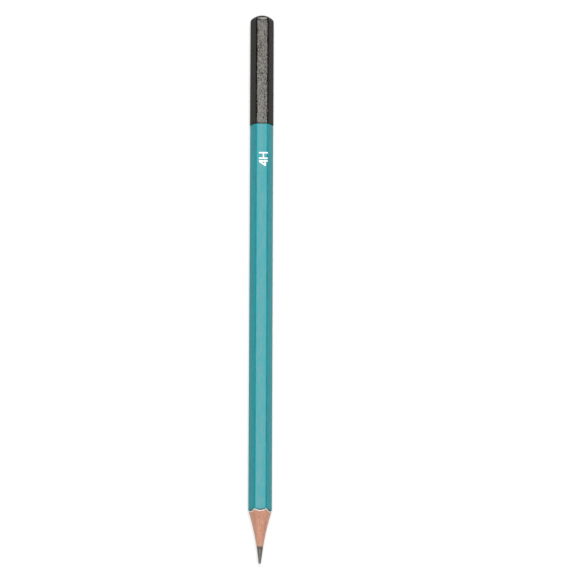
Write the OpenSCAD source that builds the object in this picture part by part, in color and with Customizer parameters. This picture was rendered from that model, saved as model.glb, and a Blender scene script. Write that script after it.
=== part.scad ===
// A wood-cased graphite pencil with a hexagonal barrel, a dipped and domed end and a ground point.
// It lies on one flat along X, with the point towards +X and the grade mark on the flat that faces up.

/* [Barrel] */
// Length from the top of the dome to the tip of the lead
pencil_l = 180; // [150:1:200]
// Width across the flats, over the lacquer
across_flats = 6.85; // [6.4:0.05:8]
// Radius of the six long corners, over the lacquer
corner_r = 0.8; // [0.6:0.05:1.4]

/* [Lead] */
// Diameter of the graphite core
lead_d = 2; // [1.8:0.05:3.2]
// Thickness of the glue round the lead and between the slats
glue_t = 0.05; // [0.03:0.01:0.12]

/* [Point] */
// Length of the ground point, from the tip to where it runs out on the long corners
point_l = 17.4; // [13:0.1:22]
// Radius of the hollow that the grinding wheel leaves along the point
wheel_r = 85; // [60:5:240]
// Radius of the blunt tip
tip_r = 0.4; // [0.2:0.05:0.6]

/* [Coats] */
// Thickness of the white primer on the wood
primer_t = 0.08; // [0.04:0.01:0.12]
// Thickness of the coloured lacquer on the primer
lacquer_t = 0.1; // [0.06:0.01:0.2]

/* [Dipped end] */
// Length of the dipped end, from the top of the dome to the paint line
dip_l = 37.2; // [20:0.1:60]
// Thickness of the dip on the flats
dip_t = 0.08; // [0.02:0.01:0.15]
// Thickness of the dip on the dome, where it drains and builds up
dip_end_t = 0.3; // [0.1:0.05:0.6]
// Radius of the dome
dome_r = 5.4; // [5:0.1:9]

/* [Grade mark] */
// Height of the characters
mark_h = 2.95; // [1.5:0.05:3]
// Width of the strokes
stroke_w = 0.48; // [0.3:0.02:0.6]
// Width of the numeral
numeral_w = 2; // [1.6:0.05:2.4]
// Width of the letter
letter_w = 2.3; // [1.6:0.05:2.6]
// Gap between the two characters
mark_gap = 0.3; // [0.2:0.05:0.6]
// Distance from the paint line to the mark
mark_offset = 9.5; // [3:0.1:30]
// Distance of the mark's middle from the middle of the flat
mark_aside = 0.5; // [-0.6:0.05:0.6]
// Thickness of the stamped foil
foil_t = 0.03; // [0.02:0.01:0.05]

/* [Hidden] */
$fn = 96;

// Straight steps that round each long corner
corner_steps = 6;
// How far a cutting shape runs past what it cuts
overshoot = 1;

// Depths are measured inwards from the surface of the lacquer
primer_depth = lacquer_t;
wood_depth = lacquer_t + primer_t;
groove_r = lead_d / 2 + glue_t;
// Distance from the axis to the outermost point of a rounded corner, over the lacquer
corner_reach = (across_flats / 2 - corner_r) / cos(30) + corner_r;
// Radius that clears the whole barrel, dip included
clear_r = corner_reach + dip_t + 0.4 * overshoot;
axis_height = across_flats / 2 + dip_t;

// Centre of the grinding wheel: its rim passes through the edge of the tip and the end of the point
chord = [corner_reach - tip_r, -point_l];
chord_l = norm(chord);
wheel_sag = sqrt(pow(wheel_r, 2) - pow(chord_l / 2, 2));
wheel_centre = [tip_r, pencil_l] + chord / 2 + [point_l, chord[0]] / chord_l * wheel_sag;

// Turns a shape built upwards from the dome into one that lies along X, with its middle over the origin
module lie_down() {
    translate([-pencil_l / 2, 0, axis_height]) rotate([0, 90, 0]) children();
}

// Barrel section at a depth under the lacquer, with rounded corners and two flats across X
module section(depth) {
    corner_centre = (across_flats / 2 - corner_r) / cos(30);
    r = corner_r - depth;
    polygon([
        for (corner = [30:60:330], step = [0:corner_steps])
            let (turn = corner - 30 + 60 * step / corner_steps)
                corner_centre * [cos(corner), sin(corner)] + r * [cos(turn), sin(turn)],
    ]);
}

// Straight bar of that section, longer than the pencil at both ends
module bar(depth) {
    translate([0, 0, -overshoot]) linear_extrude(pencil_l + 2 * overshoot) section(depth);
}

// Half outline of everything inside the dome, at a depth under the dip, and inside the ground point
module turned_outline(dome_depth) {
    difference() {
        intersection() {
            translate([0, -overshoot]) square([clear_r, pencil_l + overshoot]);
            union() {
                translate([0, dome_r]) circle(r = dome_r - dome_depth);
                translate([0, dome_r]) square([2 * clear_r, pencil_l]);
            }
        }
        translate(wheel_centre) circle(r = wheel_r, $fn = 240);
    }
}

module turned(dome_depth) {
    rotate_extrude() turned_outline(dome_depth);
}

// Round rod along the axis, longer than the pencil at both ends
module rod(r) {
    translate([0, 0, -overshoot]) cylinder(r = r, h = pencil_l + 2 * overshoot);
}

// Barrel at a depth under the lacquer, with the dome and the point cut on it
module barrel(depth) {
    intersection() {
        bar(depth);
        turned(dip_end_t);
    }
}

// One half of the wooden case, with its half of the groove; side is -1 for the upper slat and 1 for the lower
module slat(side) {
    color("#d79b80") lie_down() difference() {
        intersection() {
            barrel(wood_depth);
            translate([side > 0 ? glue_t / 2 : -clear_r, -clear_r, -overshoot])
                cube([clear_r - glue_t / 2, 2 * clear_r, pencil_l + 2 * overshoot]);
        }
        rod(groove_r);
    }
}

module graphite_core() {
    color("#5d5a56") lie_down() intersection() {
        rod(lead_d / 2);
        turned(dip_end_t);
    }
}

// The glue lines the groove and joins the faces of the slats out to the two side corners
module glue_film() {
    color("#c9a86a") lie_down() difference() {
        intersection() {
            union() {
                rod(groove_r);
                translate([-glue_t / 2, -clear_r, -overshoot])
                    cube([glue_t, 2 * clear_r, pencil_l + 2 * overshoot]);
            }
            barrel(wood_depth);
        }
        rod(lead_d / 2);
    }
}

module primer_coat() {
    color("#f1efe8") lie_down() difference() {
        barrel(primer_depth);
        bar(wood_depth);
    }
}

module lacquer_coat() {
    color("#12868f") difference() {
        lie_down() difference() {
            barrel(0);
            bar(primer_depth);
        }
        mark_recess();
    }
}

module dipped_cap() {
    color("#2b2926") lie_down() difference() {
        intersection() {
            bar(-dip_t);
            turned(0);
            translate([0, 0, -overshoot]) cylinder(r = 2 * clear_r, h = dip_l + overshoot);
        }
        barrel(0);
    }
}

// A closed four: the slanting stroke runs from the cross stroke to the top of the upright
module numeral_four() {
    upright_right = numeral_w - 0.3 * stroke_w;
    upright_left = upright_right - stroke_w;
    foot = 0.22 * mark_h;
    slant_start = [0, foot + stroke_w];
    slant_end = [upright_left - 0.1 * stroke_w, mark_h];
    slant = (slant_end - slant_start) / norm(slant_end - slant_start);
    inner = slant_start + 1.1 * stroke_w * [slant[1], -slant[0]];
    difference() {
        polygon([
            [0, foot], [upright_left, foot], [upright_left, 0], [upright_right, 0],
            [upright_right, foot], [numeral_w, foot], [numeral_w, foot + stroke_w],
            [upright_right, foot + stroke_w], [upright_right, mark_h], slant_end, slant_start,
        ]);
        polygon([
            [inner[0] + (foot + stroke_w - inner[1]) * slant[0] / slant[1], foot + stroke_w],
            [upright_left, foot + stroke_w],
            [upright_left, inner[1] + (upright_left - inner[0]) * slant[1] / slant[0]],
        ]);
    }
}

module letter_h() {
    square([stroke_w, mark_h]);
    translate([letter_w - stroke_w, 0]) square([stroke_w, mark_h]);
    translate([0, (mark_h - stroke_w) / 2]) square([letter_w, stroke_w]);
}

// The characters, from the depth of the foil to clear of the barrel
// They read towards the dipped end, with their feet towards +Y
module mark_recess() {
    mark_l = numeral_w + mark_gap + letter_w;
    difference() {
        translate([dip_l + mark_offset + mark_l - pencil_l / 2, mark_aside + mark_h / 2, axis_height])
            rotate(180) linear_extrude(clear_r) {
                numeral_four();
                translate([numeral_w + mark_gap, 0]) letter_h();
            }
        lie_down() bar(foil_t);
    }
}

module grade_mark() {
    color("white") intersection() {
        mark_recess();
        lie_down() bar(0);
    }
}

slat(-1);  // upper_slat
slat(1);  // lower_slat
graphite_core();
glue_film();
primer_coat();
lacquer_coat();
dipped_cap();
grade_mark();
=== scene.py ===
import math

import bmesh
import bpy
from bpy.props import FloatProperty, FloatVectorProperty, PointerProperty
from mathutils import Matrix, Vector, noise


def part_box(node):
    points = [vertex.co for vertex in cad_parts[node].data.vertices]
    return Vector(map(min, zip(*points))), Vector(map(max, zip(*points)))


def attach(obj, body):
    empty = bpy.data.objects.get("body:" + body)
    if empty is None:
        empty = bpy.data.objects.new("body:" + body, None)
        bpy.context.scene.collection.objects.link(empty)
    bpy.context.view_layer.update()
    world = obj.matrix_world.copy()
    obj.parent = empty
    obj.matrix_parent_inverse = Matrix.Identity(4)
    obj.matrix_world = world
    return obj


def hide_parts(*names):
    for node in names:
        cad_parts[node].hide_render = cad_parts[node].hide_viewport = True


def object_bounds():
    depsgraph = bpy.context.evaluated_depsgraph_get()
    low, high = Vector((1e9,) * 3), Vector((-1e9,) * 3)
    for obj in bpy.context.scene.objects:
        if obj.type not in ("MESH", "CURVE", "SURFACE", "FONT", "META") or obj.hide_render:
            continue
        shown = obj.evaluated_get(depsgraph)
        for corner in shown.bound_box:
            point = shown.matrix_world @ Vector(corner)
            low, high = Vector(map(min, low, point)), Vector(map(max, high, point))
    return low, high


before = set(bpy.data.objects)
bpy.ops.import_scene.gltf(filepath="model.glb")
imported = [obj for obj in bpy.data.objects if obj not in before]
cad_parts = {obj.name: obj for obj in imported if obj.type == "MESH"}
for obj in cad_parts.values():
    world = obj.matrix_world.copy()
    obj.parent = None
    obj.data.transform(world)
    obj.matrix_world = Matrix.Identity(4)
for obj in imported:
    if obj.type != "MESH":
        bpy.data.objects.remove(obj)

bl_info = {
    "name": "Wood-cased pencil",
    "version": (1, 0, 0),
    "blender": (4, 5, 0),
    "location": "View3D > Sidebar > Pencil",
    "description": "Models and finishes the pieces of a hexagonal graphite pencil",
    "category": "Add Mesh",
}

MM = 0.001
COS30 = math.cos(math.radians(30))
TAN30 = math.tan(math.radians(30))

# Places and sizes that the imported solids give, in metres
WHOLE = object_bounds()
LACQUER_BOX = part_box("lacquer_coat")
PRIMER_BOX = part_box("primer_coat")
CASE_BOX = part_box("upper_slat")
LEAD_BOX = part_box("graphite_core")
DIP_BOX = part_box("dipped_cap")
MARK_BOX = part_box("grade_mark")

DOME_END = WHOLE[0].x
TIP = WHOLE[1].x
AXIS_Z = (LACQUER_BOX[0].z + LACQUER_BOX[1].z) / 2
FLATS = LACQUER_BOX[1].z - LACQUER_BOX[0].z
CORNER_REACH = LACQUER_BOX[1].y
CORNER_R = (FLATS / 2 / COS30 - CORNER_REACH) / (1 / COS30 - 1)
PRIMER_DEPTH = LACQUER_BOX[1].z - PRIMER_BOX[1].z
WOOD_DEPTH = LACQUER_BOX[1].z - CASE_BOX[1].z
DIP_T = DIP_BOX[1].z - LACQUER_BOX[1].z
PAINT_LINE = DIP_BOX[1].x
LEAD_R = (LEAD_BOX[1].y - LEAD_BOX[0].y) / 2
DIP_END_T = LEAD_BOX[0].x - DOME_END
GLUE_T = 2 * (CASE_BOX[0].z - AXIS_Z)
GROUND_EDGE = LACQUER_BOX[1].x

# The two characters of the grade mark; widths in metres, the rest in widths of a stroke
NUMERAL_W = 2.0 * MM
LETTER_W = 2.3 * MM
BAR_OVERHANG = 0.3
SLANT_WIDTH = 1.1
SLANT_GAP = 0.6
RUNG_WIDTH = 0.9
BAR_RISE = 0.22  # height of the numeral's bar over its foot, as a share of the character's height
STROKE_ROUNDING = 0.06 * MM

# How finely the pieces are drawn
CORNER_TO_CORNER = (
    0, 1.9, 3.7, 5.5, 7.4, 9.5, 12, 15, 18, 21, 24, 27,
    30, 33, 36, 39, 42, 45, 48, 50.5, 52.6, 54.5, 56.3, 58.1,
)
QUARTER_ROUND = [math.radians(15 * step) for step in range(1, 7)]
POINT_FROM = GROUND_EDGE - 3 * MM  # from here to the tip the rings are close together
DOME_RINGS_END = DOME_END + 4 * MM
DIP_BODY_FROM = -84 * MM
SLAT_FROM = DOME_END + DIP_END_T + 0.14 * MM
CORNER_SHARPNESS = 0.65  # how much quicker the dome's shoulder turns into the corners than into the flats
RIM_DROP = 0.95  # share of the dip's thickness that its rim rounds away
FEATHER = 0.004 * MM  # least thickness of the wood where it runs out on the lead
WELD = 0.0005 * MM
SMOOTH_UP_TO = math.radians(11)

# The ground surface
WHEEL_LIMIT = GROUND_EDGE - 9 * MM  # behind this the wheel's circle isn't followed
SEARCH_FROM = GROUND_EDGE - 8 * MM
WORN_LENGTH = 2.4 * MM
COARSE_RIPPLE = (120, 500, 500)  # waves to a metre along X, Y and Z
FINE_RIPPLE = (500, 1500, 1500)
FINE_SHARE = 0.35
RIPPLE_FADE = 1.5 * MM  # nearer to the axis than this the ripple fades

# Colours that only shade another finish
PALE_FIBRES = (0.72, 0.45, 0.35)
GRAPHITE_DUST = (0.5, 0.4, 0.34)
WOOD_SMEAR = (0.12, 0.07, 0.045)
DARK_BROWN_SPOT = (0.07, 0.028, 0.018)

# The stage: places and lengths in metres, angles in degrees
FLOOR_WIDTH = 6
FLOOR_SHADE = (0.8, 0.8, 0.8)
FLOOR_GLOW_SHARE = 0.5
SOFTBOX = {"place": (-0.06, 0, 0.75), "aim": (-0.06, 0, 0), "size": 0.8, "size_y": 0.3, "radiance": 8.6}
REFLECTOR = {
    "place": (-0.62, 0, 0.26), "aim": (DOME_END, 0, AXIS_Z),
    "size": 0.28, "size_y": 0.09, "radiance": 15,
}
CARD_ASIDE = 0.25
CARD_HEIGHT = 0.47
CARD_SIZE = (3, 0.86, 1)
CARD_GLOW = 0.12
GLOW_AS_LIGHT = 0.2
CAMERA_LENS = 136.16
CAMERA_DISTANCE = 0.713
CAMERA_LEAN = 8.8
CAMERA_SIDEWAYS = -1.9
CAMERA_AIM_ASIDE = 0.757
CAMERA_AIM_UP = -0.14
CAMERA_ROLL = 0.538


class PencilSizes(bpy.types.PropertyGroup):
    wheel_radius: FloatProperty(
        name="Wheel radius", description="Radius of the hollow along the point", default=85 * MM, unit="LENGTH"
    )
    tip_radius: FloatProperty(
        name="Tip radius", description="Radius of the blunt tip", default=0.4 * MM, unit="LENGTH"
    )
    tip_wear: FloatProperty(
        name="Tip wear", description="Rounding of the tip's edge", default=0.025 * MM, unit="LENGTH"
    )
    off_centre_down: FloatProperty(
        name="Off centre, down", description="How far the ground point lies under the axis at its wide end",
        default=0.17 * MM, unit="LENGTH",
    )
    off_centre_aside: FloatProperty(
        name="Off centre, aside", description="How far the ground point lies aside at its wide end",
        default=0.01 * MM, unit="LENGTH",
    )
    deeper: FloatProperty(
        name="Deeper", description="How much deeper the wheel went at the wide end", default=0.045 * MM,
        unit="LENGTH",
    )
    worn_side: FloatProperty(
        name="Worn side", description="How much the tip is worn down on one side", default=0.1 * MM,
        unit="LENGTH",
    )
    rolling: FloatProperty(
        name="Rolling", description="How much the ground surface follows the hexagon", default=0.5
    )
    ripple: FloatProperty(
        name="Ripple", description="Unevenness of the ground surface", default=0.03 * MM, unit="LENGTH"
    )
    lead_wander: FloatProperty(
        name="Lead wander", description="Unevenness of the lead's skin", default=0.04 * MM, unit="LENGTH"
    )
    dome_radius: FloatProperty(
        name="Dome radius", description="Radius of the domed end", default=5.4 * MM, unit="LENGTH"
    )
    crown: FloatProperty(
        name="Crown", description="How much the lacquer is thicker on the flats than at the corners",
        default=0.04 * MM, unit="LENGTH",
    )
    shoulder: FloatProperty(
        name="Shoulder", description="Length over which the dome turns into the flats", default=1.4 * MM,
        unit="LENGTH",
    )
    dip_rim: FloatProperty(
        name="Dip rim", description="Length over which the dip thins out", default=0.16 * MM, unit="LENGTH"
    )
    stroke: FloatProperty(
        name="Stroke", description="Width of the strokes of the grade mark", default=0.48 * MM, unit="LENGTH"
    )
    foil_sink: FloatProperty(
        name="Foil sink", description="How far the foil lies under the lacquer", default=0.008 * MM,
        unit="LENGTH",
    )
    foil_depth: FloatProperty(
        name="Foil depth", description="Depth of the stamped pocket", default=0.03 * MM, unit="LENGTH"
    )


class PencilColours(bpy.types.PropertyGroup):
    lacquer: FloatVectorProperty(
        name="Lacquer", description="Coloured lacquer", subtype="COLOR", default=(0.007, 0.278, 0.31)
    )
    dip: FloatVectorProperty(
        name="Dip", description="Dipped end", subtype="COLOR", default=(0.036, 0.0345, 0.0315)
    )
    primer: FloatVectorProperty(
        name="Primer", description="White undercoat", subtype="COLOR", default=(0.86, 0.85, 0.8)
    )
    wood: FloatVectorProperty(
        name="Wood", description="Wood between the grain", subtype="COLOR", default=(0.625, 0.297, 0.192)
    )
    grain: FloatVectorProperty(
        name="Grain", description="Darker fibres of the wood", subtype="COLOR", default=(0.36, 0.14, 0.08)
    )
    graphite: FloatVectorProperty(
        name="Graphite", description="Ground graphite", subtype="COLOR", default=(0.13, 0.12, 0.105)
    )
    glue: FloatVectorProperty(
        name="Glue", description="Dried glue", subtype="COLOR", default=(0.46, 0.28, 0.19)
    )
    foil: FloatVectorProperty(
        name="Foil", description="Stamped foil", subtype="COLOR", default=(0.9, 0.9, 0.89)
    )


# ---------------------------------------------------------------- modelling helpers


def start_clean():
    """Leaves edit mode and deselects everything."""
    if bpy.context.object and bpy.context.object.mode != "OBJECT":
        bpy.ops.object.mode_set(mode="OBJECT")
    bpy.ops.object.select_all(action="DESELECT")


def make_active(piece):
    start_clean()
    piece.select_set(True)
    bpy.context.view_layer.objects.active = piece


def added(name):
    """Names the primitive that was just added and puts its place into its mesh."""
    piece = bpy.context.object
    piece.name = name
    bpy.ops.object.transform_apply(location=True, rotation=True, scale=True)
    return piece


def select_in_mesh(piece, kind, wanted):
    """Selects the vertices, edges or faces that pass a test, in edit mode."""
    bpy.ops.mesh.select_mode(type={"verts": "VERT", "edges": "EDGE", "faces": "FACE"}[kind])
    bpy.ops.mesh.select_all(action="DESELECT")
    shape = bmesh.from_edit_mesh(piece.data)
    for element in getattr(shape, kind):
        element.select_set(wanted(element))
    shape.select_flush_mode()
    bmesh.update_edit_mesh(piece.data)


def combine(piece, tool, operation):
    """Cuts, keeps or adds what the tool covers."""
    make_active(piece)
    modifier = piece.modifiers.new(operation.title(), "BOOLEAN")
    modifier.operation = operation
    modifier.solver = "EXACT"
    modifier.object = tool
    bpy.ops.object.modifier_apply(modifier=modifier.name)


def remove(*pieces):
    for piece in pieces:
        bpy.data.objects.remove(piece)


def finish_piece(piece, material, node):
    """Smooths a piece, gives it its finish, and lets it stand for its solid."""
    make_active(piece)
    bpy.ops.object.mode_set(mode="EDIT")
    bpy.ops.mesh.select_all(action="SELECT")
    bpy.ops.mesh.remove_doubles(threshold=WELD)
    bpy.ops.object.mode_set(mode="OBJECT")
    bpy.ops.object.shade_smooth_by_angle(angle=SMOOTH_UP_TO, keep_sharp_edges=False)
    piece.data.materials.clear()
    piece.data.materials.append(material)
    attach(piece, "root")
    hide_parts(node)


# ---------------------------------------------------------------- surfaces


def heading(turn):
    """Direction away from the axis; a turn of 0 points along +Y and a quarter turn points up."""
    return Vector((0, math.cos(turn), math.sin(turn)))


def at(x, turn, reach):
    """The point at a place along the pencil, a direction and a distance from the axis."""
    return Vector((x, 0, AXIS_Z)) + heading(turn) * reach


def soft_least(first, second, softness):
    """The smaller of two lengths, rounded off where they meet."""
    gap = max(0, softness - abs(first - second)) / softness
    return min(first, second) - gap * gap * softness / 4


def barrel_reach(turn, depth):
    """Distance from the axis to the rounded hexagon, at a depth under the lacquer."""
    turn %= math.radians(60)
    from_corner = min(turn, math.radians(60) - turn)
    middle, bend = (FLATS / 2 - CORNER_R) / COS30, CORNER_R - depth
    if from_corner > math.atan2(bend / 2, middle + bend * COS30):
        return (FLATS / 2 - depth) / math.cos(math.radians(30) - from_corner)
    return middle * math.cos(from_corner) + math.sqrt(bend**2 - (middle * math.sin(from_corner)) ** 2)


def coated_reach(turn, depth, sizes):
    """The same over the coats, which draw back a little from the corners."""
    across = math.tan(abs(math.radians(30) - (turn % math.radians(60)))) / TAN30
    return barrel_reach(turn, depth) - sizes.crown * (1 - math.cos(math.pi * across)) / 2


def round_the_barrel(first=0.0, last=360.0):
    """Turns at which the barrel is drawn, close together at its corners; the limits are in degrees."""
    turns = [60 * corner + step for corner in range(6) for step in CORNER_TO_CORNER]
    return [math.radians(turn) for turn in turns if first <= turn < last]


def wheel_reach(x, sizes):
    """Distance from the axis to the surface that the grinding wheel leaves, on average."""
    run, rise = TIP - GROUND_EDGE, FLATS / 2 - PRIMER_DEPTH - sizes.tip_radius
    chord = math.hypot(run, rise)
    sag = math.sqrt(sizes.wheel_radius**2 - chord**2 / 4)
    centre_x = GROUND_EDGE + run / 2 + rise / chord * sag
    centre_reach = sizes.tip_radius + rise / 2 + run / chord * sag
    x = max(x, WHEEL_LIMIT)
    return centre_reach - math.sqrt(sizes.wheel_radius**2 - (x - centre_x) ** 2)


def uneven(spot, waves):
    """Smooth noise about zero, with so many waves to a metre along each axis."""
    return noise.noise(Vector([place * count for place, count in zip(spot, waves)]))


def ground_reach(x, turn, sizes):
    """The ground surface in one direction: off centre, a little hexagonal, and rippled."""
    towards_barrel = min(1.2, max(0, (TIP - x) / (TIP - GROUND_EDGE)))
    reach = wheel_reach(x, sizes)
    offset = sizes.off_centre_aside * math.cos(turn) - sizes.off_centre_down * math.sin(turn)
    reach += (offset - sizes.deeper) * towards_barrel
    near_tip = max(0, 1 - (TIP - x) / WORN_LENGTH)
    reach -= sizes.worn_side * near_tip * max(0, math.cos(turn))
    hexagonal = barrel_reach(turn, 0) - (CORNER_REACH + FLATS / 2) / 2
    reach += sizes.rolling * hexagonal * towards_barrel**2
    spot = at(x, turn, reach)
    push = uneven(spot, COARSE_RIPPLE) + FINE_SHARE * uneven(spot, FINE_RIPPLE)
    return reach + sizes.ripple * push * min(1, reach / RIPPLE_FADE)


def meets_ground(turn, wanted, sizes):
    """Place along the pencil where the ground surface comes down to a wanted distance from the axis."""
    low, high = SEARCH_FROM, TIP
    for _ in range(40):
        middle = (low + high) / 2
        if ground_reach(middle, turn, sizes) > wanted:
            low = middle
        else:
            high = middle
    return low


def lead_reach(x, turn, sizes):
    """The lead's skin, which wanders a little as fired leads do."""
    around = heading(turn)
    push = noise.noise(Vector((x * 250, 0.9 * around.y, 0.9 * around.z)))
    push += 0.5 * noise.noise(Vector((x * 600, 2.5 * around.y, 2.5 * around.z + 9)))
    return LEAD_R + sizes.lead_wander * push


def groove_reach(x, turn, sizes):
    """The wall of the groove in the wood, outside the glue."""
    return lead_reach(x, turn, sizes) + GLUE_T


def bared(turn, cover, sizes):
    """Place along the pencil where the grinding reaches the lead, or a cover of some thickness on it."""
    guess = meets_ground(turn, LEAD_R + cover, sizes)
    return meets_ground(turn, lead_reach(guess, turn, sizes) + cover, sizes)


def dome_reach(x, sizes):
    """Distance from the axis to the domed end of the dip."""
    deep = x - DOME_END
    return math.sqrt(max(0, 2 * sizes.dome_radius * deep - deep * deep))


def dip_reach(x, turn, sizes):
    """The outside of the dip; its dome turns into the flats slowly and into the corners quickly."""
    reach = coated_reach(turn, -DIP_T, sizes)
    cornered = max(0, (barrel_reach(turn, 0) - FLATS / 2) / (CORNER_REACH - FLATS / 2))
    softness = sizes.shoulder * (1 - CORNER_SHARPNESS * cornered)
    return soft_least(reach, dome_reach(x, sizes), softness)


def wooden_dome_reach(x, sizes):
    """Distance from the axis to the rounded end of the wood, inside the dip."""
    inner = sizes.dome_radius - DIP_END_T
    deep = x - DOME_END - DIP_END_T
    ball = math.sqrt(max(0, 2 * inner * deep - deep * deep))
    outside = soft_least(FLATS / 2 + DIP_T, dome_reach(x, sizes), sizes.shoulder)
    return min(ball, outside - DIP_T)


def shoulder_end(sizes):
    """Place along the pencil where the dome's soft shoulder has run out."""
    reach = FLATS / 2 + DIP_T + sizes.shoulder + 0.02 * MM
    return DOME_END + sizes.dome_radius - math.sqrt(sizes.dome_radius**2 - reach**2)


def skin(name, rings, joined=False):
    """Extrudes a circle once for each ring of points and fits it to them.

    The ends are filled, or joined to each other where the rings run round a tube's wall.
    """
    start_clean()
    ends = "NOTHING" if joined else "NGON"
    bpy.ops.mesh.primitive_circle_add(
        vertices=len(rings[0]), radius=MM, fill_type=ends, rotation=(0, math.pi / 2, 0)
    )
    piece = added(name)
    bpy.ops.object.mode_set(mode="EDIT")
    bpy.ops.mesh.select_all(action="SELECT")
    for _ in rings[1:]:
        bpy.ops.mesh.extrude_region_move(TRANSFORM_OT_translate={"value": (MM, 0, 0)})
    if joined:
        select_in_mesh(piece, "edges", lambda e: e.is_boundary)
        bpy.ops.mesh.bridge_edge_loops()
    bpy.ops.object.mode_set(mode="OBJECT")
    for vertex in piece.data.vertices:
        turn = math.atan2(vertex.co.z, vertex.co.y) / (2 * math.pi)
        ring = rings[round(vertex.co.x / MM)]
        vertex.co = ring[round(turn * len(ring)) % len(ring)]
    make_active(piece)
    bpy.ops.object.mode_set(mode="EDIT")
    bpy.ops.mesh.select_all(action="SELECT")
    bpy.ops.mesh.normals_make_consistent(inside=False)
    bpy.ops.object.mode_set(mode="OBJECT")
    return piece


def steps(start, end, count, ease=1.0):
    """Places from start to end; an ease over 1 brings them closer together near the start."""
    return [start + (end - start) * (step / count) ** ease for step in range(count + 1)]


def coat(name, outer, inner, sizes, crowned=False):
    """A coat between two depths under the lacquer's surface, ground away at the point."""
    turns = round_the_barrel()
    start = shoulder_end(sizes)
    rings = []
    for depth, outside in ((outer, True), (inner, False)):
        if outside and crowned:
            reaches = [coated_reach(turn, depth, sizes) for turn in turns]
        else:
            reaches = [barrel_reach(turn, depth) for turn in turns]
        ends = [meets_ground(turn, reach, sizes) for turn, reach in zip(turns, reaches)]
        for share in steps(0, 1, 14) if outside else steps(1, 0, 14):
            rings.append([at(start + (end - start) * share, *way) for end, *way in zip(ends, turns, reaches)])
    return skin(name, rings, joined=True)


def coated_bar(name, depth, start, end, sizes):
    """Bar along X with the lacquer's section, at a depth under its surface."""
    turns = round_the_barrel()
    rings = [[at(x, turn, coated_reach(turn, depth, sizes)) for turn in turns] for x in (start, end)]
    return skin(name, rings)


# ---------------------------------------------------------------- finishes


class Value:
    """A socket of a finish; arithmetic on it adds Math nodes."""

    def __init__(self, finish, socket):
        self.finish = finish
        self.socket = socket

    def math(self, operation, first, second):
        return self.finish.add("ShaderNodeMath", {"operation": operation}, {0: first, 1: second})

    def __add__(self, other):
        return self.math("ADD", self, other)

    def __radd__(self, other):
        return self.math("ADD", other, self)

    def __sub__(self, other):
        return self.math("SUBTRACT", self, other)

    def __rsub__(self, other):
        return self.math("SUBTRACT", other, self)

    def __mul__(self, other):
        return self.math("MULTIPLY", self, other)

    def __rmul__(self, other):
        return self.math("MULTIPLY", other, self)


class Finish:
    """The nodes of one material or of the surroundings, with the method that adds every one of them."""

    def __init__(self, owner):
        self.owner = owner
        owner.use_nodes = True
        self.tree = owner.node_tree
        self.tree.nodes.clear()

    def add(self, kind, settings=None, sockets=None, output=0):
        """Adds a node with its settings and its sockets' values or links, and gives one of its outputs."""
        node = self.tree.nodes.new(kind)
        for name, value in (settings or {}).items():
            setattr(node, name, value)
        for name, value in (sockets or {}).items():
            if isinstance(value, Value):
                self.tree.links.new(value.socket, node.inputs[name])
            else:
                node.inputs[name].default_value = value
        return Value(self, node.outputs[output]) if node.outputs else None

    def place(self, stretch):
        """Object coordinates in millimetres; a stretch under 1 draws a pattern out along that axis."""
        spot = self.add("ShaderNodeTexCoord", output="Object")
        return self.add("ShaderNodeMapping", {}, {"Vector": spot, "Scale": [s / MM for s in stretch]})

    def clouds(self, stretch, scale, detail=2.0, rough=0.5):
        """Noise from 0 to 1, with about so many clouds to a millimetre."""
        sockets = {"Vector": self.place(stretch), "Scale": scale, "Detail": detail, "Roughness": rough}
        return self.add("ShaderNodeTexNoise", {}, sockets)

    def along(self, start, end, to_start=0.0, to_end=1.0):
        """Changes smoothly between two places along the pencil, given in metres."""
        spot = self.add("ShaderNodeSeparateXYZ", {}, {0: self.place((1, 1, 1))})
        return self.between(spot, start / MM, end / MM, to_start, to_end)

    def between(self, value, low, high, to_low=0.0, to_high=1.0):
        """Changes smoothly as a value goes from low to high."""
        return self.add(
            "ShaderNodeMapRange",
            {"interpolation_type": "SMOOTHSTEP"},
            {"Value": value, "From Min": low, "From Max": high, "To Min": to_low, "To Max": to_high},
        )

    def blend(self, share, first, second):
        """The first colour where the share is 0, the second where it is 1."""
        first, second = (c if isinstance(c, Value) else (*c, 1) for c in (first, second))
        return self.add("ShaderNodeMix", {"data_type": "RGBA"}, {0: share, 6: first, 7: second}, output=2)

    def bump(self, height, distance, strength=1.0, under=None):
        """Relief as high as the distance where the height is 1, over the relief under it."""
        sockets = {"Height": height, "Distance": distance, "Strength": strength}
        if under:
            sockets["Normal"] = under
        return self.add("ShaderNodeBump", {}, sockets)

    def surface(self, **sockets):
        """Closes the finish with one shader, whose sockets are named with underscores for spaces."""
        spaced = {name.replace("_", " "): value for name, value in sockets.items()}
        shader = self.add("ShaderNodeBsdfPrincipled", {}, spaced)
        self.add("ShaderNodeOutputMaterial", {}, {"Surface": shader})
        return self.owner


def new_finish(name):
    return Finish(bpy.data.materials.new(name))


def shaded(colour, share):
    """A darker or paler shade of a colour."""
    return tuple(channel * share for channel in colour)


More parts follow.
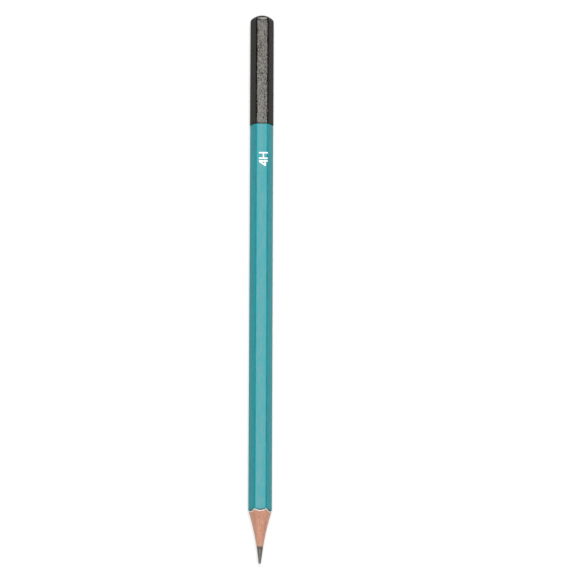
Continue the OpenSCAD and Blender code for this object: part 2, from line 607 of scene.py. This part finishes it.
def lacquer_finish(colours):
    """Glossy lacquer: cloudy patches, a fine orange peel, scuffs by the point, and a dull ground face darkened
    with painted shade.
    """
    finish = new_finish("teal_lacquer")
    patches = finish.between(finish.clouds((0.25, 1, 1), 0.9, 3), 0.3, 0.7)
    colour = finish.blend(patches, shaded(colours.lacquer, 0.93), shaded(colours.lacquer, 1.06))
    specks = finish.between(finish.clouds((1, 1, 1), 3.2, 1), 0.72, 0.8)
    colour = finish.blend(specks * 0.4, colour, shaded(colours.lacquer, 0.55))
    near_point = finish.along(GROUND_EDGE - 2.6 * MM, GROUND_EDGE - 1.2 * MM)
    scuffs = near_point * finish.between(finish.clouds((1, 1, 1), 2, 2), 0.3, 0.7)
    colour = finish.blend(scuffs, colour, shaded(colours.lacquer, 0.6))
    # Faces turned towards the tip, mostly the ground face where the lacquer was cut, are rougher (real) and
    # darkened by their direction (painted shade).
    facing = finish.add("ShaderNodeSeparateXYZ", {}, {0: finish.add("ShaderNodeTexCoord", output="Normal")})
    cut = finish.between(facing, 0.1, 0.2)
    colour = finish.blend(cut, colour, shaded(colours.lacquer, 0.35))
    normal = finish.bump(finish.clouds((0.8, 1, 1), 1.4, 2), 0.02 * MM, 0.6)
    normal = finish.bump(finish.clouds((1, 1, 1), 4.5, 1), 0.004 * MM, 0.6, normal)
    rough = finish.between(patches, 0, 1, 0.24, 0.34) + cut * 0.4
    return finish.surface(Base_Color=colour, Roughness=rough, Normal=normal, Specular_IOR_Level=0.22)


def dip_finish(colours):
    """Thick glossy dip: fine wrinkling all over with painted glints and shade that follow it, small pitting
    where air dried out with painted shade in it, and a thin dull edge.
    """
    finish = new_finish("black_dip")
    off_dome = finish.along(DOME_END + 1.5 * MM, DOME_END + 2.6 * MM)
    peel = finish.clouds((0.8, 1, 1), 2.5, 1)
    # Painted glints and shade: the dip's colour, which sets how strongly it mirrors, is lighter on the crests
    # of the peel and darker between them.
    wrinkle_glint_and_shade = finish.between(peel, 0.38, 0.64, 0.3, 1) * off_dome
    colour = finish.blend(wrinkle_glint_and_shade, shaded(colours.dip, 0.72), shaded(colours.dip, 1.12))
    pits_and_shade = finish.between(finish.clouds((1, 1, 1), 1.6, 1), 0.68, 0.75)
    # Painted shade in the pitting: besides being sunk by the bump below, it is darkened.
    colour = finish.blend(pits_and_shade * 0.7, colour, shaded(colours.dip, 0.2))
    edge = finish.along(PAINT_LINE - 0.32 * MM, PAINT_LINE - 0.2 * MM)
    colour = finish.blend(edge, colour, shaded(colours.dip, 0.25))
    normal = finish.bump(peel * off_dome, 0.11 * MM, 1.0)
    normal = finish.bump(finish.clouds((0.7, 1, 1), 1.3, 1) * off_dome, 0.06 * MM, 0.8, normal)
    normal = finish.bump(1 - pits_and_shade, 0.03 * MM, 0.8, normal)
    return finish.surface(
        Base_Color=colour, Roughness=0.13 + edge * 0.4, Normal=normal, Metallic=0.9,
        Specular_Tint=(0.55, 0.55, 0.55, 1),
    )


def primer_finish(colours):
    """Chalky undercoat, a little dirty where the wheel dragged it."""
    finish = new_finish("white_primer")
    dirt = finish.between(finish.clouds((0.6, 1, 1), 2.5, 3), 0.45, 0.75)
    colour = finish.blend(dirt * 0.5, colours.primer, shaded(colours.wood, 0.9))
    normal = finish.bump(finish.clouds((1, 1, 1), 6, 2), 0.01 * MM, 0.5)
    return finish.surface(Base_Color=colour, Roughness=0.7, Normal=normal)


def wood_finish(colours, name, shift):
    """Bare ground wood: straight fibres along the pencil, dark pores, wheel marks, and dust near the lead."""
    finish = new_finish(name)
    bands = finish.between(finish.clouds((0.05, 0.7 + shift, 0.7), 1.0, 2), 0.3, 0.7)
    fibres = finish.clouds((0.1, 2.4, 2.4), 1.1 + shift, 4, 0.6)
    pores = finish.between(finish.clouds((0.35, 3.2, 3.2), 1.1 + shift, 2), 0.56, 0.68)
    colour = finish.blend(bands, shaded(colours.wood, 0.93), shaded(colours.wood, 1.06))
    colour = finish.blend(finish.between(fibres, 0.45, 0.68) * 0.7, colour, colours.grain)
    pale = finish.between(finish.clouds((0.12, 2.0, 2.0), 1.4 - shift, 3), 0.52, 0.7)
    colour = finish.blend(pale * 0.35, colour, PALE_FIBRES)
    colour = finish.blend(pores * 0.55, colour, shaded(colours.grain, 0.62))
    near_paint = finish.along(GROUND_EDGE + 0.5 * MM, GROUND_EDGE + 4 * MM, 1, 0)
    colour = finish.blend(near_paint * 0.3, colour, shaded(colours.wood, 0.8))
    near_lead = finish.along(TIP - 7 * MM, TIP - 5.2 * MM)
    smudge = near_lead * finish.between(finish.clouds((0.6, 1.8, 1.8), 1.6, 3), 0.4, 0.62, 0.1, 0.7)
    colour = finish.blend(smudge, colour, GRAPHITE_DUST)
    normal = finish.bump(fibres, 0.035 * MM, 0.7)
    normal = finish.bump(finish.clouds((7, 0.4, 0.4), 1.0, 2), 0.006 * MM, 0.5, normal)
    return finish.surface(
        Base_Color=colour, Roughness=0.68, Normal=normal, Sheen_Weight=0.35, Sheen_Roughness=0.5,
        Sheen_Tint=(1, 0.85, 0.75, 1),
    )


def graphite_finish(colours):
    """Ground lead: dull metallic sheen, fine lengthwise streaks, and brown smears by the wood."""
    finish = new_finish("graphite")
    streaks = finish.clouds((0.3, 3, 3), 1.7, 3, 0.6)
    smear = finish.between(finish.clouds((1, 1.5, 1.5), 1.6, 2), 0.4, 0.65)
    colour = finish.blend(
        finish.between(streaks, 0.35, 0.65), shaded(colours.graphite, 0.7), shaded(colours.graphite, 1.25)
    )
    near_wood = finish.along(TIP - 5.3 * MM, TIP - 4.2 * MM, 1, 0)
    colour = finish.blend(near_wood * smear * 0.5, colour, WOOD_SMEAR)
    # A dark brown spot on top of the lead where it leaves the wood.
    stretch = (1, 1.4, 0.3)
    centre = ((TIP - 4.9 * MM) / MM, 0.1, stretch[2] * (AXIS_Z + LEAD_R) / MM)
    from_brown_spot = finish.add(
        "ShaderNodeVectorMath", {"operation": "DISTANCE"}, {0: finish.place(stretch), 1: centre}, output=1
    )
    colour = finish.blend(finish.between(from_brown_spot, 0.25, 0.7, 0.85, 0), colour, DARK_BROWN_SPOT)
    normal = finish.bump(streaks, 0.02 * MM, 0.6)
    rough = finish.between(streaks, 0.3, 0.7, 0.38, 0.52)
    return finish.surface(Base_Color=colour, Roughness=rough, Normal=normal, Metallic=0.15)


def glue_finish(colours):
    """Thin dried glue, paler where it is thick."""
    finish = new_finish("dried_glue")
    uneven = finish.clouds((0.6, 2, 2), 1.5, 2)
    colour = finish.blend(uneven, shaded(colours.glue, 0.8), shaded(colours.glue, 1.15))
    return finish.surface(Base_Color=colour, Roughness=0.55, Normal=finish.bump(uneven, 0.01 * MM, 0.4))


def foil_finish(colours):
    """Stamped pigment foil, slightly thin where the die pressed least."""
    finish = new_finish("white_foil")
    thin = finish.between(finish.clouds((1, 1, 1), 3, 3), 0.58, 0.75)
    colour = finish.blend(thin * 0.35, colours.foil, shaded(colours.lacquer, 2))
    normal = finish.bump(finish.clouds((1, 1, 1), 7, 2), 0.006 * MM, 0.5)
    return finish.surface(Base_Color=colour, Roughness=0.42, Normal=normal)


# ---------------------------------------------------------------- pieces


class PENCIL_OT_lead(bpy.types.Operator):
    """Model the graphite core, from the dipped end to the blunt tip"""

    bl_idname = "pencil.lead"
    bl_label = "Graphite core"

    def execute(self, context):
        sizes, colours = context.scene.pencil_sizes, context.scene.pencil_colours
        turns = [math.radians(5 * step) for step in range(72)]
        inner_end, wear = LEAD_BOX[0].x, sizes.tip_wear
        starts = [bared(turn, 0, sizes) for turn in turns]
        rings = [
            [at(x, turn, min(LEAD_R, wooden_dome_reach(x, sizes))) for turn in turns]
            for x in steps(inner_end + 0.01 * MM, inner_end + 0.2 * MM, 5)
        ]
        rings += [
            [at(x, turn, lead_reach(x, turn, sizes)) for turn in turns]
            for x in steps(PAINT_LINE, min(starts) - 0.3 * MM, 3)
        ]
        for share in steps(0, 1, 40):
            places = [start + (TIP - wear - start) * share for start in starts]
            rings.append([at(x, turn, ground_reach(x, turn, sizes)) for x, turn in zip(places, turns)])
        for bend in QUARTER_ROUND:
            drop = wear * (1 - math.cos(bend))
            x = TIP - wear + wear * math.sin(bend)
            rings.append([at(x, turn, ground_reach(TIP - wear, turn, sizes) - drop) for turn in turns])
        lead = skin("graphite_lead", rings)
        finish_piece(lead, graphite_finish(colours), "graphite_core")
        return {"FINISHED"}


class PENCIL_OT_glue(bpy.types.Operator):
    """Model the glue: a sleeve round the lead, with a thin wing to each side between the slats"""

    bl_idname = "pencil.glue"
    bl_label = "Glue film"

    def execute(self, context):
        sizes, colours = context.scene.pencil_sizes, context.scene.pencil_colours
        root = math.asin(GLUE_T / 2 / (LEAD_R + GLUE_T))
        section = []
        for side in (1, -1):
            first = 0 if side > 0 else math.pi
            section.append((first, side * GLUE_T / 2))
            section += [(first + turn, 0) for turn in steps(root, math.pi - root, 34)]
            section.append((first + math.pi, side * GLUE_T / 2))
        turns = [turn for turn, _ in section]

        def outside(x, turn, lift):
            limit = ground_reach(x, turn, sizes)
            if lift:
                return at(x, turn, min(barrel_reach(turn, WOOD_DEPTH), limit)) + Vector((0, 0, lift))
            return at(x, turn, min(groove_reach(x, turn, sizes), limit))

        start = shoulder_end(sizes)
        sleeve_end = [bared(turn, GLUE_T, sizes) for turn in turns]
        lead_bare = [bared(turn, 0, sizes) for turn in turns]
        places = steps(start, POINT_FROM, 4)[:-1] + steps(POINT_FROM, min(sleeve_end) - 0.1 * MM, 40)
        rings = [[outside(x, *spot) for spot in section] for x in places]
        for ends, cover in ((sleeve_end, GLUE_T), (lead_bare, 0)):
            rings.append([at(x, turn, lead_reach(x, turn, sizes) + cover) for x, turn in zip(ends, turns)])
        rings += [
            [at(x, turn, lead_reach(x, turn, sizes)) for turn in turns]
            for x in steps(min(lead_bare) - 0.4 * MM, start, 12)
        ]
        glue = skin("glue_layer", rings, joined=True)
        finish_piece(glue, glue_finish(colours), "glue_film")
        return {"FINISHED"}


class PENCIL_OT_slats(bpy.types.Operator):
    """Model the two wooden slats, each with its half of the groove for the lead"""

    bl_idname = "pencil.slats"
    bl_label = "Wooden slats"

    def execute(self, context):
        sizes, colours = context.scene.pencil_sizes, context.scene.pencil_colours
        for side, name, node in ((1, "case_upper", "upper_slat"), (-1, "case_lower", "lower_slat")):
            slat = skin(name, self.rings(side, sizes))
            finish_piece(slat, wood_finish(colours, name + "_wood", 0.1 * side), node)
        return {"FINISHED"}

    def rings(self, side, sizes):
        """Rings of one slat, each out over the barrel's side and back along the groove."""
        first = 0.0 if side > 0 else math.pi
        across = round_the_barrel(0.1, 180) if side > 0 else round_the_barrel(180.1, 360)
        walk = [(turn, True) for turn in (first, *across, first + math.pi)]
        walk += [(first + math.pi * (1 - step / 36), False) for step in range(37)]
        lift = side * GLUE_T / 2

        def ring(places, limit):
            points = []
            for x, (turn, outer) in zip(places, walk):
                reach = groove_reach(x, turn, sizes)
                if outer:
                    reach = max(reach + FEATHER, min(barrel_reach(turn, WOOD_DEPTH), limit(x, turn)))
                points.append(self.seam(x, turn, reach, lift))
            return points

        def domed(x, turn):
            return wooden_dome_reach(x, sizes) if x <= shoulder_end(sizes) else barrel_reach(turn, WOOD_DEPTH)

        def ground(x, turn):
            return ground_reach(x, turn, sizes)

        start, shoulder = SLAT_FROM, shoulder_end(sizes)
        body = steps(start, shoulder, 8, 1.5) + [shoulder + 0.2 * MM, -30 * MM, 20 * MM]
        rings = [ring([x] * len(walk), domed) for x in body]
        ends = [bared(turn, GLUE_T, sizes) for turn, _ in walk]
        for share in steps(0, 1, 76):
            rings.append(ring([POINT_FROM + (end - POINT_FROM) * share for end in ends], ground))
        return rings

    def seam(self, x, turn, reach, lift):
        """A point of a slat, kept on its own side of the glue between the slats."""
        point = at(x, turn, reach)
        if abs(point.z - AXIS_Z) < abs(lift):
            point.z = AXIS_Z + lift
            point.y = math.copysign(math.sqrt(reach**2 - lift**2), point.y)
        return point


class PENCIL_OT_primer(bpy.types.Operator):
    """Model the white undercoat that shows as a line at the scallops"""

    bl_idname = "pencil.primer"
    bl_label = "Primer coat"

    def execute(self, context):
        sizes, colours = context.scene.pencil_sizes, context.scene.pencil_colours
        primer = coat("primer_layer", PRIMER_DEPTH, WOOD_DEPTH, sizes)
        finish_piece(primer, primer_finish(colours), "primer_coat")
        return {"FINISHED"}


def stroke_bar(name, start, end, width):
    """One stroke of a character, an upright block from start to end with softened corners.

    Both are measured from the foot of the numeral's left side, along the writing and up.
    """
    start_clean()
    run = Vector(end) - Vector(start)
    middle = (Vector(start) + Vector(end)) / 2
    place = (MARK_BOX[1].x - middle.x, MARK_BOX[1].y - middle.y, LACQUER_BOX[1].z)
    bpy.ops.mesh.primitive_cube_add(size=1, location=place, rotation=(0, 0, math.atan2(run.y, run.x)))
    bpy.context.object.scale = (run.length, width, MM)
    stroke = added(name)
    bpy.ops.object.mode_set(mode="EDIT")
    select_in_mesh(stroke, "edges", lambda e: abs(e.verts[0].co.z - e.verts[1].co.z) > MM / 2)
    bpy.ops.mesh.bevel(offset=STROKE_ROUNDING, segments=3, affect="EDGES")
    bpy.ops.object.mode_set(mode="OBJECT")
    return stroke


def grade_characters(sizes):
    """Tall blocks in the shape of the numeral and the letter, to cut the pocket and the foil with."""
    low, high = MARK_BOX
    width = sizes.stroke
    tall = high.y - low.y
    bar_up = BAR_RISE * tall + width / 2
    stem = NUMERAL_W - (BAR_OVERHANG + 0.5) * width
    slant_foot, slant_head = Vector((0, bar_up + width / 2)), Vector((stem - SLANT_GAP * width, tall))
    slant = (slant_head - slant_foot).normalized()
    inwards = Vector((slant.y, -slant.x)) * SLANT_WIDTH / 2 * width
    numeral = (
        ((stem, 0), (stem, tall), width),
        ((0, bar_up), (NUMERAL_W, bar_up), width),
        (slant_foot + inwards, slant_head + inwards, SLANT_WIDTH * width),
    )
    left, right = high.x - low.x - LETTER_W + width / 2, high.x - low.x - width / 2
    letter = (
        ((left, 0), (left, tall), width),
        ((right, 0), (right, tall), width),
        ((left, tall / 2), (right, tall / 2), RUNG_WIDTH * width),
    )
    blocks = []
    for first, *others in (numeral, letter):
        block = stroke_bar("character", *first)
        for other in others:
            arm = stroke_bar("arm", *other)
            combine(block, arm, "UNION")
            remove(arm)
        blocks.append(block)
    make_active(blocks[0])
    blocks[1].select_set(True)
    bpy.ops.object.join()
    return bpy.context.object


class PENCIL_OT_mark(bpy.types.Operator):
    """Model the foil of the grade mark, sunk a little into the lacquer"""

    bl_idname = "pencil.mark"
    bl_label = "Grade mark"

    def execute(self, context):
        sizes, colours = context.scene.pencil_sizes, context.scene.pencil_colours
        foil = grade_characters(sizes)
        foil.name = "grade_foil"
        ends = (MARK_BOX[0].x - MM, MARK_BOX[1].x + MM)
        top = coated_bar("top", sizes.foil_sink, *ends, sizes)
        floor = coated_bar("floor", sizes.foil_depth, *ends, sizes)
        combine(foil, top, "INTERSECT")
        combine(foil, floor, "DIFFERENCE")
        remove(top, floor)
        finish_piece(foil, foil_finish(colours), "grade_mark")
        return {"FINISHED"}


class PENCIL_OT_lacquer(bpy.types.Operator):
    """Model the lacquer tube, with the pocket of the grade mark"""

    bl_idname = "pencil.lacquer"
    bl_label = "Lacquer coat"

    def execute(self, context):
        sizes, colours = context.scene.pencil_sizes, context.scene.pencil_colours
        lacquer = coat("lacquer_layer", 0, PRIMER_DEPTH, sizes, crowned=True)
        pocket = grade_characters(sizes)
        floor = coated_bar("floor", sizes.foil_depth, MARK_BOX[0].x - MM, MARK_BOX[1].x + MM, sizes)
        combine(pocket, floor, "DIFFERENCE")
        combine(lacquer, pocket, "DIFFERENCE")
        remove(pocket, floor)
        finish_piece(lacquer, lacquer_finish(colours), "lacquer_coat")
        return {"FINISHED"}


class PENCIL_OT_dip(bpy.types.Operator):
    """Model the dip over the barrel's end: a thin cup with a soft shoulder and a rounded rim"""

    bl_idname = "pencil.dip"
    bl_label = "Dipped cap"

    def execute(self, context):
        sizes, colours = context.scene.pencil_sizes, context.scene.pencil_colours
        turns = round_the_barrel()
        shoulder, rim = shoulder_end(sizes), sizes.dip_rim

        def outside(x, turn):
            return dip_reach(min(x, DOME_RINGS_END), turn, sizes)

        def inside(x, turn):
            reach = coated_reach(turn, 0, sizes)
            return min(reach, wooden_dome_reach(x, sizes)) if x <= shoulder else reach

        def ring(x, reach, drop=0):
            return [at(x, turn, reach(x, turn) - drop) for turn in turns]

        rings = [ring(x, outside) for x in steps(DOME_END, DOME_RINGS_END, 44, 2)[1:]]
        rings += [ring(x, outside) for x in steps(DIP_BODY_FROM, PAINT_LINE - rim, 8)]
        for bend in QUARTER_ROUND:
            drop = RIM_DROP * DIP_T * (1 - math.cos(bend))
            rings.append(ring(PAINT_LINE - rim * (1 - math.sin(bend)), outside, drop))
        rings += [ring(x, inside) for x in steps(PAINT_LINE, shoulder, 8)]
        rings += [ring(x, inside) for x in steps(DOME_END + DIP_END_T, shoulder, 16, 1.6)[-2:0:-1]]
        dip = skin("dip_cup", rings)
        finish_piece(dip, dip_finish(colours), "dipped_cap")
        return {"FINISHED"}


# ---------------------------------------------------------------- stage


def add_softbox(name, place, aim, size, size_y, radiance):
    """Rectangular lamp of a given brightness, aimed at a point."""
    lamp = bpy.data.lights.new(name, "AREA")
    lamp.shape = "RECTANGLE"
    lamp.size = size
    lamp.size_y = size_y
    lamp.energy = radiance * math.pi * size * size_y
    softbox = bpy.data.objects.new(name, lamp)
    bpy.context.scene.collection.objects.link(softbox)
    back = (Vector(place) - Vector(aim)).normalized()
    side = Vector((0, 1, 0)).cross(back).normalized()
    turned = Matrix((side, back.cross(side), back)).transposed().to_4x4()
    softbox.matrix_world = Matrix.Translation(place) @ turned
    softbox.visible_camera = False
    return softbox


def seen_directly(finish):
    """1 where the background is looked at, mirrored or seen through glass, 0 where it only gives light."""
    camera, glossy, through = (
        finish.add("ShaderNodeLightPath", output="Is %s Ray" % kind)
        for kind in ("Camera", "Glossy", "Transmission")
    )
    return camera + glossy + through


class PENCIL_OT_stage(bpy.types.Operator):
    """Set up the pale floor, the white surroundings, the lamps, the dark cards and the camera"""

    bl_idname = "pencil.stage"
    bl_label = "Stage"

    def execute(self, context):
        scene = context.scene
        scene.view_settings.view_transform = "Standard"
        self.add_floor()
        self.add_surroundings(scene)
        add_softbox("softbox", **SOFTBOX)
        self.add_reflector()
        self.add_cards()
        self.add_camera(scene)
        return {"FINISHED"}

    def add_floor(self):
        """White where it is seen, grey where it gives light, and open from below."""
        start_clean()
        bpy.ops.mesh.primitive_plane_add(size=FLOOR_WIDTH, location=(0, 0, WHOLE[0].z))
        floor = added("floor")
        finish = new_finish("pale_floor")
        shade = finish.add("ShaderNodeBsdfDiffuse", {}, {"Color": (*FLOOR_SHADE, 1)})
        paper = finish.add("ShaderNodeBsdfDiffuse", {}, {"Color": (1, 1, 1, 1)})
        bright = finish.add("ShaderNodeEmission", {}, {"Color": (1, 1, 1, 1), "Strength": 1.0})
        pale = finish.add("ShaderNodeMixShader", {}, {0: FLOOR_GLOW_SHARE, 1: paper, 2: bright})
        seen = finish.add("ShaderNodeMixShader", {}, {0: seen_directly(finish), 1: shade, 2: pale})
        under = finish.add("ShaderNodeNewGeometry", output="Backfacing")
        clear = finish.add("ShaderNodeBsdfTransparent")
        both = finish.add("ShaderNodeMixShader", {}, {0: under, 1: seen, 2: clear})
        finish.add("ShaderNodeOutputMaterial", {}, {"Surface": both})
        floor.data.materials.append(finish.owner)

    def add_surroundings(self, scene):
        """White where they are seen, dimmer where they give light."""
        scene.world = bpy.data.worlds.new("surroundings")
        finish = Finish(scene.world)
        strength = finish.between(seen_directly(finish), 0, 1, GLOW_AS_LIGHT, 1)
        glow = finish.add("ShaderNodeBackground", {}, {"Color": (1, 1, 1, 1), "Strength": strength})
        finish.add("ShaderNodeOutputWorld", {}, {"Surface": glow})

    def add_reflector(self):
        """A small lamp beyond the domed end, which only the dip mirrors."""
        reflector = add_softbox("reflector", **REFLECTOR)
        reflector.visible_diffuse = False
        lit = bpy.data.collections.new("lit_by_reflector")
        lit.objects.link(bpy.data.objects["dip_cup"])
        reflector.light_linking.receiver_collection = lit

    def add_cards(self):
        """Two dark cards beside the pencil, which are seen only in reflections."""
        finish = new_finish("dark_card")
        dim = finish.add("ShaderNodeEmission", {}, {"Color": (1, 1, 1, 1), "Strength": CARD_GLOW})
        finish.add("ShaderNodeOutputMaterial", {}, {"Surface": dim})
        for side in (1, -1):
            place = (0, side * CARD_ASIDE, CARD_HEIGHT)
            bpy.ops.mesh.primitive_plane_add(size=1, location=place, rotation=(math.pi / 2, 0, 0))
            bpy.context.object.scale = CARD_SIZE
            card = added("dark_card")
            card.data.materials.append(finish.owner)
            card.visible_camera = card.visible_diffuse = False
            card.visible_transmission = card.visible_shadow = False

    def add_camera(self, scene):
        lens = bpy.data.cameras.new("camera")
        camera = bpy.data.objects.new("camera", lens)
        scene.collection.objects.link(camera)
        lens.sensor_width = 36
        lens.lens = CAMERA_LENS
        lens.clip_start, lens.clip_end = 0.01, 20
        lean, sideways = math.radians(CAMERA_LEAN), math.radians(CAMERA_SIDEWAYS)
        upright = math.cos(lean)
        back = Vector((math.sin(lean), upright * math.sin(sideways), upright * math.cos(sideways)))
        right = Vector((0, 1, 0))
        right = (right - back * right.dot(back)).normalized()
        turn = Matrix((right, back.cross(right), back)).transposed()
        turn = turn @ Matrix.Rotation(math.radians(CAMERA_ROLL), 3, "Z")
        turn = turn @ Matrix.Rotation(math.radians(-CAMERA_AIM_ASIDE), 3, "Y")
        turn = turn @ Matrix.Rotation(math.radians(CAMERA_AIM_UP), 3, "X")
        middle = Vector(((DOME_END + TIP) / 2, 0, AXIS_Z))
        camera.matrix_world = Matrix.Translation(middle + back * CAMERA_DISTANCE) @ turn.to_4x4()
        scene.camera = camera


class PENCIL_PT_pieces(bpy.types.Panel):
    """The pieces, sizes and colours of the pencil"""

    bl_idname = "PENCIL_PT_pieces"
    bl_label = "Pencil"
    bl_space_type = "VIEW_3D"
    bl_region_type = "UI"
    bl_category = "Pencil"

    def draw(self, context):
        for operator in OPERATORS:
            self.layout.operator(operator.bl_idname)
        for group in (context.scene.pencil_sizes, context.scene.pencil_colours):
            box = self.layout.box()
            for name in group.__annotations__:
                box.prop(group, name)


OPERATORS = (
    PENCIL_OT_lead,
    PENCIL_OT_glue,
    PENCIL_OT_slats,
    PENCIL_OT_primer,
    PENCIL_OT_lacquer,
    PENCIL_OT_mark,
    PENCIL_OT_dip,
    PENCIL_OT_stage,
)
CLASSES = (PencilSizes, PencilColours, *OPERATORS, PENCIL_PT_pieces)


def register():
    for cls in CLASSES:
        bpy.utils.register_class(cls)
    bpy.types.Scene.pencil_sizes = PointerProperty(type=PencilSizes)
    bpy.types.Scene.pencil_colours = PointerProperty(type=PencilColours)


def unregister():
    del bpy.types.Scene.pencil_sizes
    del bpy.types.Scene.pencil_colours
    for cls in reversed(CLASSES):
        bpy.utils.unregister_class(cls)


def main():
    register()
    bpy.ops.pencil.lead()
    bpy.ops.pencil.glue()
    bpy.ops.pencil.slats()
    bpy.ops.pencil.primer()
    bpy.ops.pencil.lacquer()
    bpy.ops.pencil.mark()
    bpy.ops.pencil.dip()
    bpy.ops.pencil.stage()


if __name__ == "__main__":
    main()
